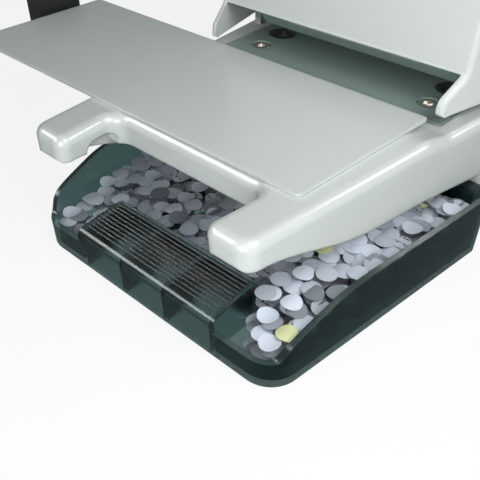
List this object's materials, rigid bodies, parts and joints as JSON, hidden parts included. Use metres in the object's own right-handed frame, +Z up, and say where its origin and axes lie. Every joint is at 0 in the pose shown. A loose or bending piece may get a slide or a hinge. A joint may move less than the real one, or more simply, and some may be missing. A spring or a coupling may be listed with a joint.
{
  "type": "electric hole punch",
  "caption": "Desk punch driven by a motor: paper slides under the head, chips fall in a smoked pull-out tray under splayed arms.",
  "frame": {"origin": "middle of the machine's footprint, on the desk", "axes": "+X to the machine's right as its user sits, +Y away from the user, +Z up"},
  "size_m": [0.205, 0.2286, 0.132],
  "materials": {
    "casting": "gloss paint",
    "table_sheet": "satin paint",
    "cover": "satin",
    "smoked": "clear smoked",
    "rubber": "matt",
    "zinc_sheet": "zinc plated",
    "steel": "ground",
    "die_steel": "phosphated",
    "screw_steel": "polished",
    "iron": "laminated",
    "brass": "machined",
    "gear_plastic": "moulded",
    "dark_plastic": "moulded",
    "button_grey": "moulded",
    "board": "lacquered",
    "lens": "clear"
  },
  "bodies": {
    "base": {"base_casting": "casting", "bottom_plate": "zinc_sheet", "bottom_plate_screws": "screw_steel", "rubber_feet": "rubber", "paper_table": "table_sheet", "table_nuts": "screw_steel", "guide_channel": "table_sheet", "die_plate": "die_steel", "die_plate_screws": "screw_steel", "die_bushes": "steel", "guide_block": "die_steel", "guide_columns": "steel", "cam_bearings": "brass", "side_frame_left": "zinc_sheet", "side_frame_right": "zinc_sheet", "tie_bars": "steel", "frame_screws": "screw_steel", "idler_shafts": "steel", "idler_clips": "screw_steel", "motor_can": "zinc_sheet", "motor_end_cap": "dark_plastic", "motor_screws": "screw_steel", "upper_paper_guide": "zinc_sheet", "back_stop": "steel", "back_stop_screws": "screw_steel", "lever_pin": "steel", "sensor_bracket": "zinc_sheet", "microswitch": "dark_plastic", "circuit_board": "board", "transformer": "iron", "power_inlet": "dark_plastic", "switch_housing": "dark_plastic", "head_cover": "cover", "cover_screws": "screw_steel", "button_board": "board", "indicator_lens": "lens"},
    "tray": {"chip_tray": "smoked"},
    "rule": {"guide_rule": "steel", "guide_stop": "dark_plastic"},
    "punch": {"crosshead": "die_steel", "punch_pins": "steel", "pin_screws": "screw_steel", "yoke_left": "zinc_sheet", "yoke_right": "zinc_sheet"},
    "cam": {"camshaft": "steel", "eccentric_left": "steel", "eccentric_right": "steel", "cam_gear": "steel"},
    "idler_one": {"first_idler": "gear_plastic"},
    "idler_two": {"second_idler": "gear_plastic"},
    "rotor": {"motor_pinion": "brass"},
    "lever": {"sensor_lever": "dark_plastic"},
    "button": {"reverse_button": "button_grey"},
    "rocker": {"power_rocker": "dark_plastic"}
  },
  "joints": [
    {"name": "tray_slide", "type": "slide", "parent": "base", "child": "tray", "axis": [0, -1, 0], "range_m": [0, 0.12]},
    {"name": "rule_slide", "type": "slide", "parent": "base", "child": "rule", "axis": [-1, 0, 0], "range_m": [0, 0.045]},
    {"name": "cam_turn", "type": "hinge", "parent": "base", "child": "cam", "pos_m": [0.03347, 0.0142, 0.10399], "axis": [1, 0, 0], "range_deg": [0, 180]},
    {"name": "punch_slide", "type": "slide", "parent": "base", "child": "punch", "axis": [0, 0, -1], "range_m": [0, 0.008]},
    {"name": "first_idler_turn", "type": "hinge", "parent": "base", "child": "idler_one", "pos_m": [0.08447, 0.0331, 0.10066], "axis": [1, 0, 0], "range_deg": [-541, 0]},
    {"name": "second_idler_turn", "type": "hinge", "parent": "base", "child": "idler_two", "pos_m": [0.08447, 0.04545, 0.08595], "axis": [1, 0, 0], "range_deg": [0, 1621]},
    {"name": "motor_turn", "type": "hinge", "parent": "base", "child": "rotor", "pos_m": [0.07847, 0.06006, 0.08176], "axis": [1, 0, 0], "range_deg": [-4537, 0]},
    {"name": "lever_swing", "type": "hinge", "parent": "base", "child": "lever", "pos_m": [0.03347, 0.0257, 0.07], "axis": [1, 0, 0], "range_deg": [0, 12], "stiffness_Nm_per_rad": 0.02, "springref_deg": -5.73},
    {"name": "reverse_press", "type": "slide", "parent": "base", "child": "button", "axis": [0, 0, -1], "range_m": [0, 0.0015], "stiffness_N_per_m": 300, "springref_m": -0.0005},
    {"name": "power_rock", "type": "hinge", "parent": "base", "child": "rocker", "pos_m": [0.05947, 0.1092, 0.026], "axis": [0, 0, 1], "range_deg": [0, 18]}
  ],
  "couplings": [
    {"joint": "punch_slide", "follows": "cam_turn", "m_per_rad": 0.002546},
    {"joint": "first_idler_turn", "follows": "cam_turn", "ratio": -3},
    {"joint": "second_idler_turn", "follows": "cam_turn", "ratio": 9},
    {"joint": "motor_turn", "follows": "cam_turn", "ratio": -25.2}
  ]
}
